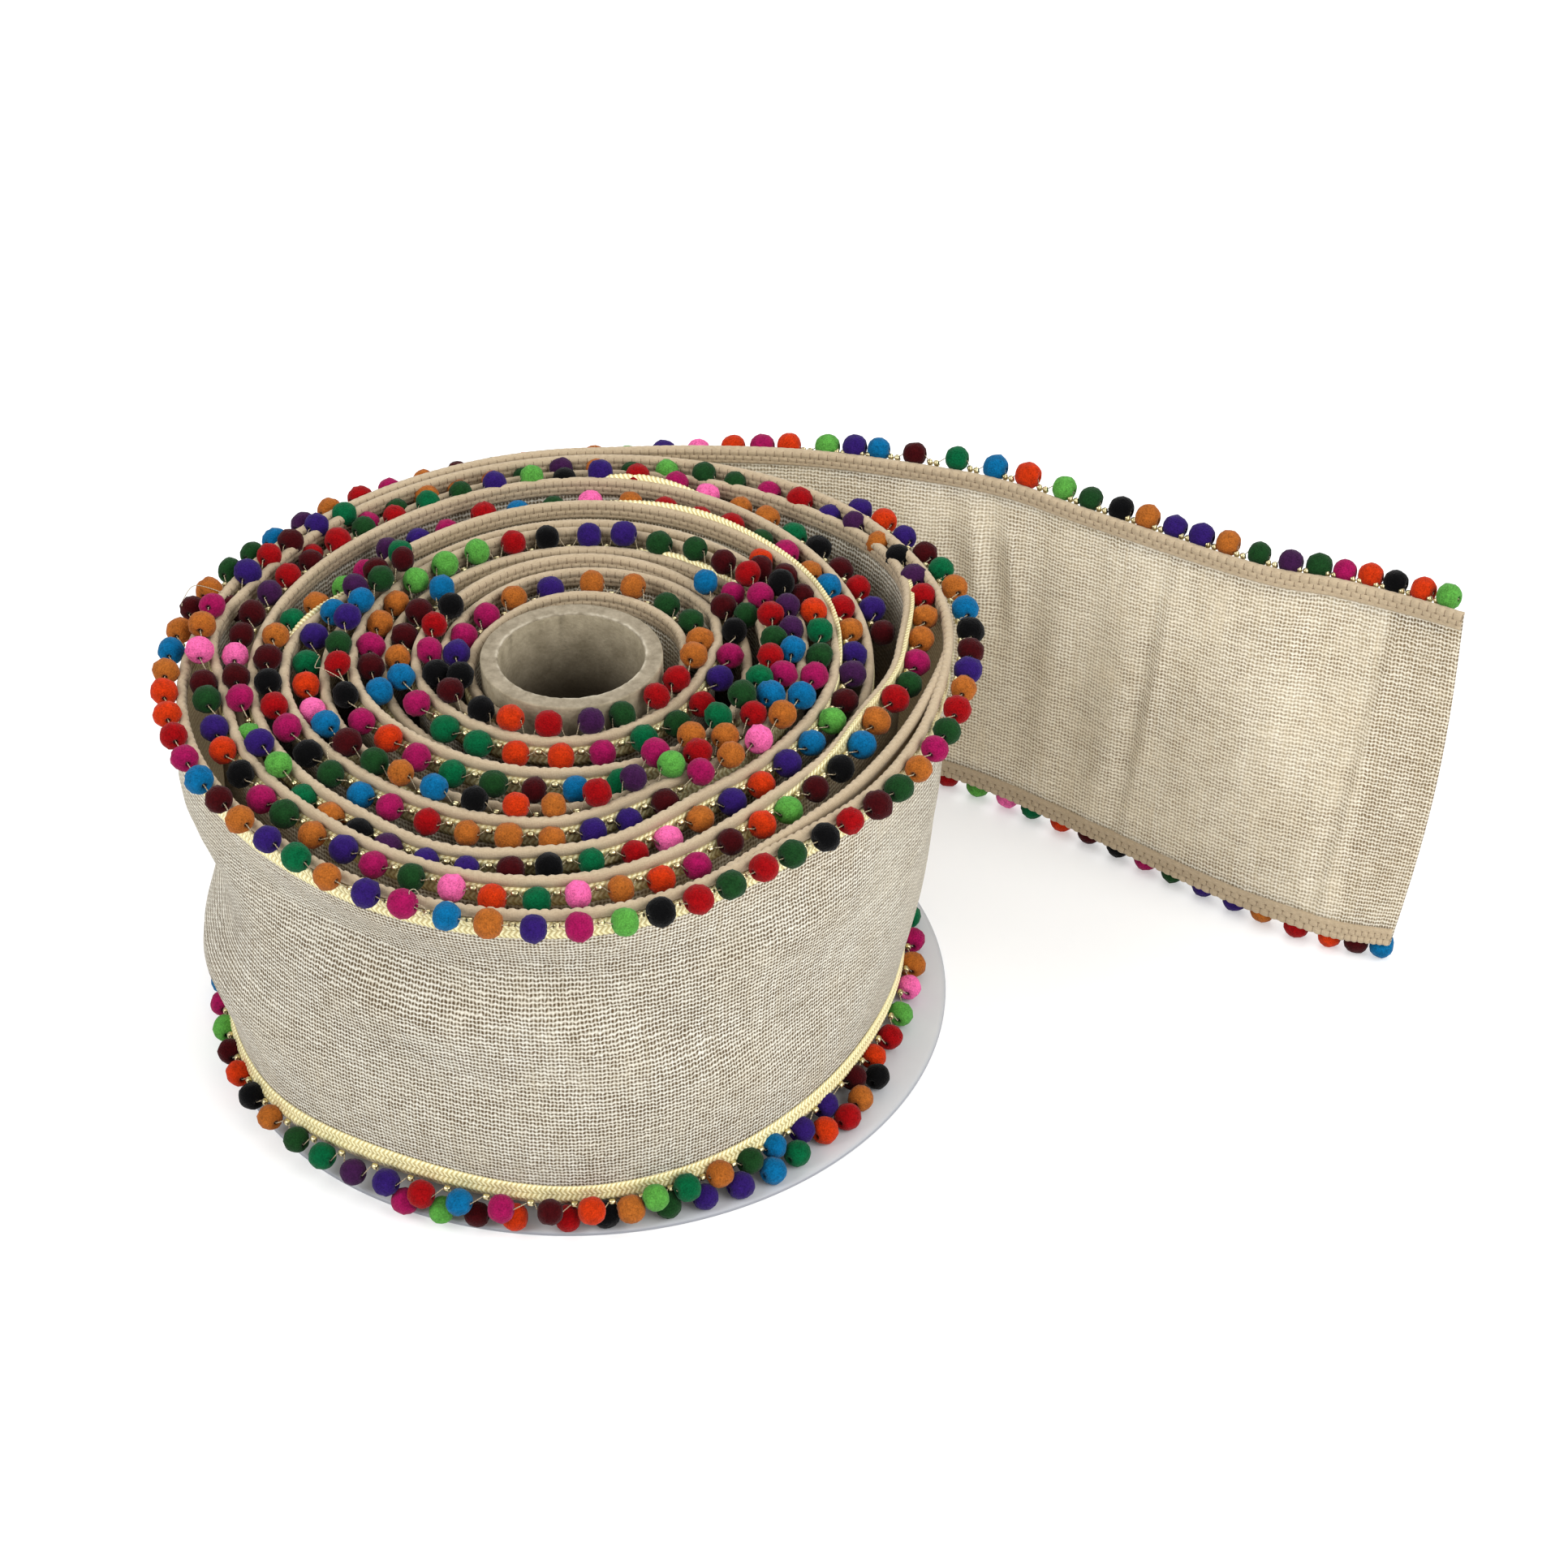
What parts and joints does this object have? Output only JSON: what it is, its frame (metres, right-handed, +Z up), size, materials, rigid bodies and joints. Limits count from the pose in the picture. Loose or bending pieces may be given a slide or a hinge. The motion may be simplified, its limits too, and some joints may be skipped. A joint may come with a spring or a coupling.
{
  "type": "wired pompom ribbon roll",
  "caption": "Wide linen-look ribbon with wired hems, gold braid and velvet pompoms, wound loosely on a card spool with one end drawn out.",
  "frame": {"origin": "centre of the spool flange's underside, on the spool's axis", "axes": "+X towards the side where the loose end lies, +Y to the back where it leaves the roll, +Z up along the spool's axis"},
  "size_m": [0.3355, 0.2179, 0.1109],
  "materials": {
    "ribbon_cloth": "oatmeal open plain weave with tan wired hems",
    "gold_braid": "pale gold metallic braid with velvet balls in mixed colours",
    "core_card": "grey-brown rolled card",
    "flange_card": "smooth off-white card"
  },
  "bodies": {
    "root": {"ribbon": "ribbon_cloth", "braid_upper": "gold_braid", "braid_lower": "gold_braid", "spool_core": "core_card", "spool_flange": "flange_card"}
  },
  "joints": []
}
